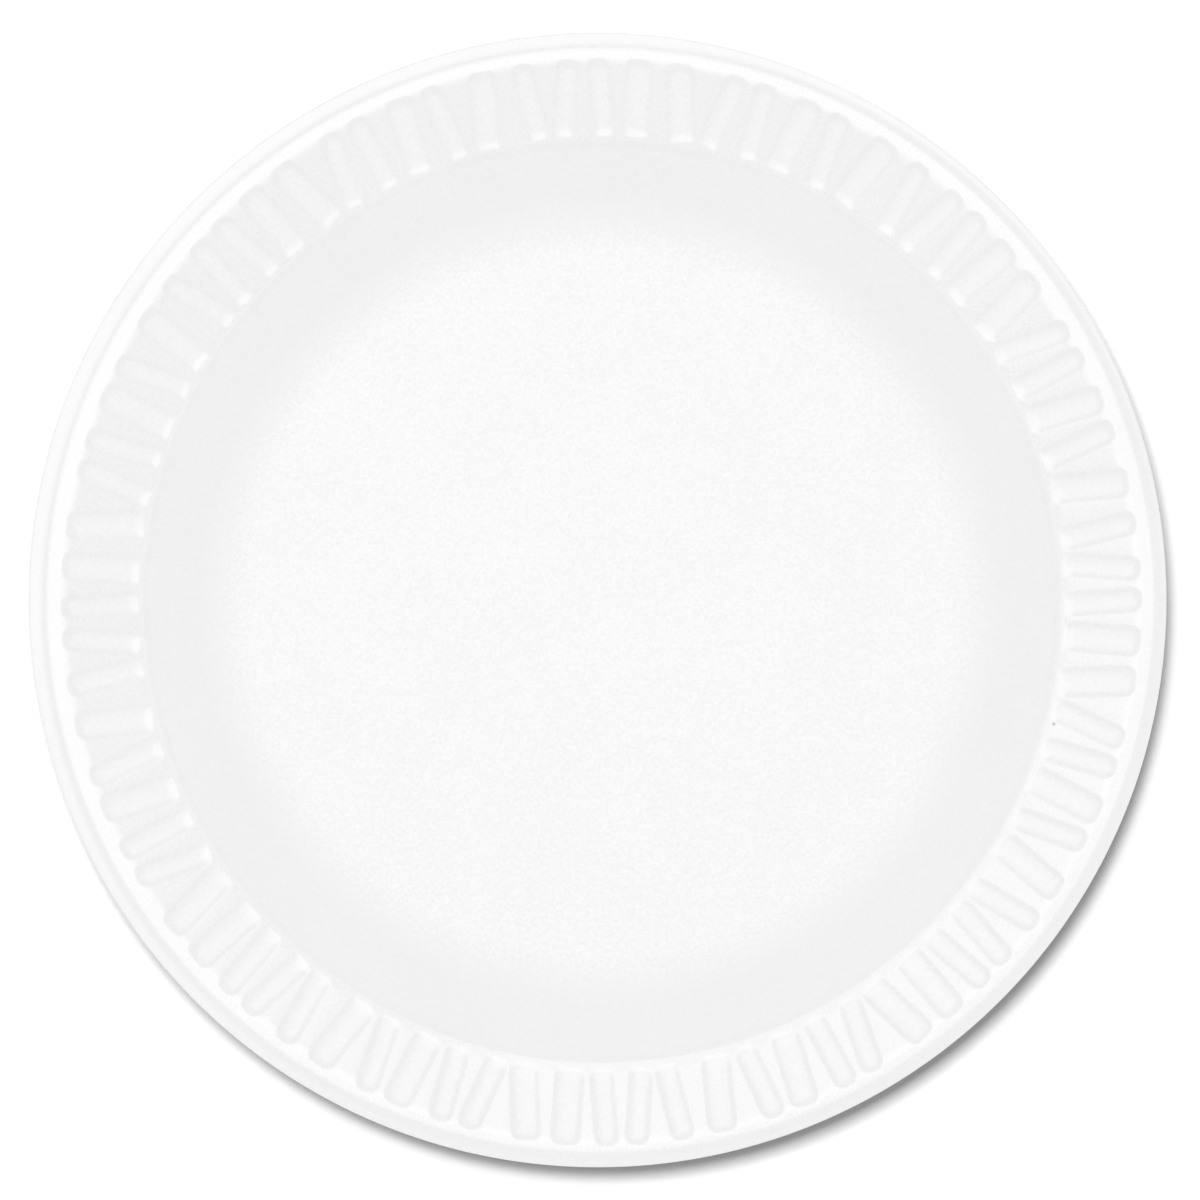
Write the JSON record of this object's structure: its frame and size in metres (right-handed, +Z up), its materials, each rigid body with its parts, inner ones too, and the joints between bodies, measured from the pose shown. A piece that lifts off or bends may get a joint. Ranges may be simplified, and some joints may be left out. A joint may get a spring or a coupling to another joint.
{
  "type": "foam plate",
  "caption": "Round white foam dinner plate with a flat-floored well and a fluted rim.",
  "frame": {"origin": "centre of the underside, on the forming axis, where the plate rests", "axes": "+Z up out of the well; the trimmed edge sits 1 mm off the forming axis towards -X"},
  "size_m": [0.2286, 0.2286, 0.02],
  "materials": {
    "foam": "satin"
  },
  "bodies": {
    "root": {"plate": "foam"}
  },
  "joints": []
}
